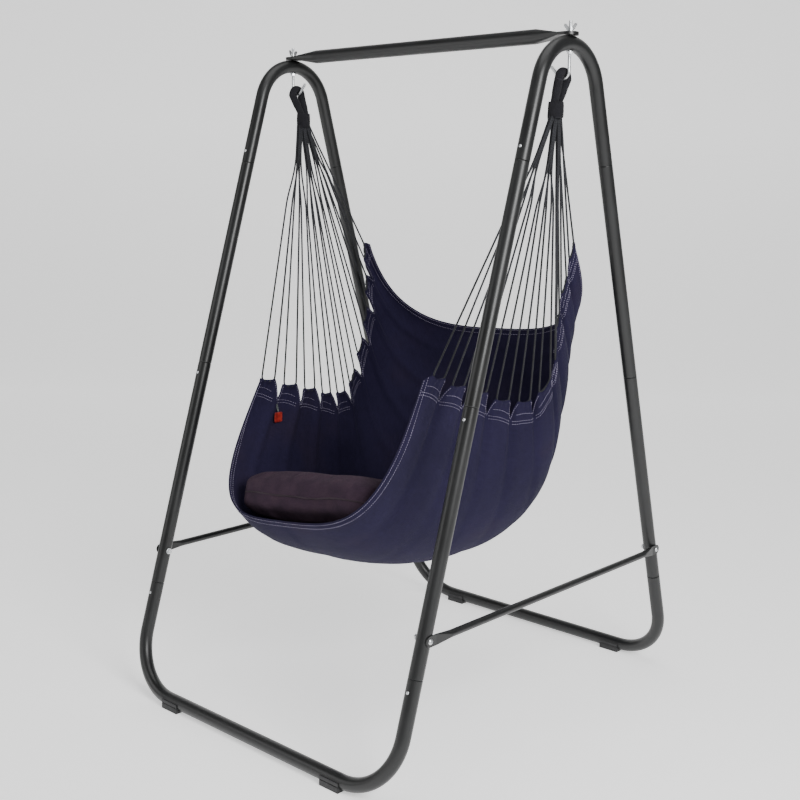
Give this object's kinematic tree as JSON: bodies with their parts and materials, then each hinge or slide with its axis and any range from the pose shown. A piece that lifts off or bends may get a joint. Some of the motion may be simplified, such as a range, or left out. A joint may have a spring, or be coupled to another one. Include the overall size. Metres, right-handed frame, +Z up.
{
  "type": "hammock on stand",
  "caption": "Hanging fabric chair with a loose seat cushion, hung by corded ends from two hooks on a knock-down tubular steel stand.",
  "frame": {"origin": "on the floor, midway between the four foot pads", "axes": "+Z up, +X towards the right side frame, -Y towards the sitter's feet"},
  "size_m": [1.0806, 1.308, 1.8835],
  "materials": {
    "frame_powder_coat": "satin",
    "zinc_plated_steel": "satin",
    "spring_steel": "satin",
    "black_plastic": "matte",
    "dark_cord": "matte",
    "navy_cotton": "matte",
    "aubergine_fabric": "matte",
    "tag_card": "matte",
    "tag_cord": "matte"
  },
  "bodies": {
    "stand": {"left_arch": "frame_powder_coat", "right_arch": "frame_powder_coat", "upper_leg_front_left": "frame_powder_coat", "upper_leg_front_right": "frame_powder_coat", "upper_leg_back_left": "frame_powder_coat", "upper_leg_back_right": "frame_powder_coat", "lower_leg_front_left": "frame_powder_coat", "lower_leg_front_right": "frame_powder_coat", "lower_leg_back_left": "frame_powder_coat", "lower_leg_back_right": "frame_powder_coat", "front_base": "frame_powder_coat", "back_base": "frame_powder_coat", "top_bar": "frame_powder_coat", "left_brace": "frame_powder_coat", "right_brace": "frame_powder_coat", "brace_bolts": "zinc_plated_steel", "brace_nuts": "zinc_plated_steel", "foot_pad_front_left": "black_plastic", "foot_pad_front_right": "black_plastic", "foot_pad_back_left": "black_plastic", "foot_pad_back_right": "black_plastic", "left_hook": "zinc_plated_steel", "right_hook": "zinc_plated_steel", "hook_nuts": "zinc_plated_steel", "button_springs": "spring_steel"},
    "chair": {"left_eye": "dark_cord", "right_eye": "dark_cord", "left_whipping": "dark_cord", "right_whipping": "dark_cord", "left_cords": "dark_cord", "right_cords": "dark_cord", "sling": "navy_cotton", "tag": "tag_card", "tag_cord": "tag_cord"},
    "cushion": {"cushion": "aubergine_fabric"},
    "left_wing_nut": {"left_wing_nut": "zinc_plated_steel"},
    "right_wing_nut": {"right_wing_nut": "zinc_plated_steel"},
    "button_top_front_left": {"button_top_front_left": "zinc_plated_steel"},
    "button_top_front_right": {"button_top_front_right": "zinc_plated_steel"},
    "button_top_back_left": {"button_top_back_left": "zinc_plated_steel"},
    "button_top_back_right": {"button_top_back_right": "zinc_plated_steel"},
    "button_middle_front_left": {"button_middle_front_left": "zinc_plated_steel"},
    "button_middle_front_right": {"button_middle_front_right": "zinc_plated_steel"},
    "button_middle_back_left": {"button_middle_back_left": "zinc_plated_steel"},
    "button_middle_back_right": {"button_middle_back_right": "zinc_plated_steel"},
    "button_bottom_front_left": {"button_bottom_front_left": "zinc_plated_steel"},
    "button_bottom_front_right": {"button_bottom_front_right": "zinc_plated_steel"},
    "button_bottom_back_left": {"button_bottom_back_left": "zinc_plated_steel"},
    "button_bottom_back_right": {"button_bottom_back_right": "zinc_plated_steel"}
  },
  "joints": [
    {"name": "chair_swing", "type": "hinge", "parent": "stand", "child": "chair", "pos_m": [0, 0, 1.744], "axis": [1, 0, 0], "range_deg": [-25, 25]},
    {"name": "cushion_lift_out", "type": "slide", "parent": "chair", "child": "cushion", "axis": [0, 0, 1], "range_m": [0, 0.25]},
    {"name": "left_wing_nut_turn", "type": "hinge", "parent": "stand", "child": "left_wing_nut", "pos_m": [-0.51, 0, 1.8575], "axis": [0, 0, 1], "continuous": true},
    {"name": "right_wing_nut_turn", "type": "hinge", "parent": "stand", "child": "right_wing_nut", "pos_m": [0.51, 0, 1.8575], "axis": [0, 0, 1], "continuous": true},
    {"name": "button_top_front_left_press", "type": "slide", "parent": "stand", "child": "button_top_front_left", "axis": [0, 0.9588, -0.284], "range_m": [0, 0.004], "stiffness_N_per_m": 500, "springref_m": -0.004},
    {"name": "button_top_front_right_press", "type": "slide", "parent": "stand", "child": "button_top_front_right", "axis": [0, 0.9588, -0.284], "range_m": [0, 0.004], "stiffness_N_per_m": 500, "springref_m": -0.004},
    {"name": "button_top_back_left_press", "type": "slide", "parent": "stand", "child": "button_top_back_left", "axis": [0, -0.9588, -0.284], "range_m": [0, 0.004], "stiffness_N_per_m": 500, "springref_m": -0.004},
    {"name": "button_top_back_right_press", "type": "slide", "parent": "stand", "child": "button_top_back_right", "axis": [0, -0.9588, -0.284], "range_m": [0, 0.004], "stiffness_N_per_m": 500, "springref_m": -0.004},
    {"name": "button_middle_front_left_press", "type": "slide", "parent": "stand", "child": "button_middle_front_left", "axis": [0, 0.9588, -0.284], "range_m": [0, 0.004], "stiffness_N_per_m": 500, "springref_m": -0.004},
    {"name": "button_middle_front_right_press", "type": "slide", "parent": "stand", "child": "button_middle_front_right", "axis": [0, 0.9588, -0.284], "range_m": [0, 0.004], "stiffness_N_per_m": 500, "springref_m": -0.004},
    {"name": "button_middle_back_left_press", "type": "slide", "parent": "stand", "child": "button_middle_back_left", "axis": [0, -0.9588, -0.284], "range_m": [0, 0.004], "stiffness_N_per_m": 500, "springref_m": -0.004},
    {"name": "button_middle_back_right_press", "type": "slide", "parent": "stand", "child": "button_middle_back_right", "axis": [0, -0.9588, -0.284], "range_m": [0, 0.004], "stiffness_N_per_m": 500, "springref_m": -0.004},
    {"name": "button_bottom_front_left_press", "type": "slide", "parent": "stand", "child": "button_bottom_front_left", "axis": [0, 0.9588, -0.284], "range_m": [0, 0.004], "stiffness_N_per_m": 500, "springref_m": -0.004},
    {"name": "button_bottom_front_right_press", "type": "slide", "parent": "stand", "child": "button_bottom_front_right", "axis": [0, 0.9588, -0.284], "range_m": [0, 0.004], "stiffness_N_per_m": 500, "springref_m": -0.004},
    {"name": "button_bottom_back_left_press", "type": "slide", "parent": "stand", "child": "button_bottom_back_left", "axis": [0, -0.9588, -0.284], "range_m": [0, 0.004], "stiffness_N_per_m": 500, "springref_m": -0.004},
    {"name": "button_bottom_back_right_press", "type": "slide", "parent": "stand", "child": "button_bottom_back_right", "axis": [0, -0.9588, -0.284], "range_m": [0, 0.004], "stiffness_N_per_m": 500, "springref_m": -0.004}
  ]
}
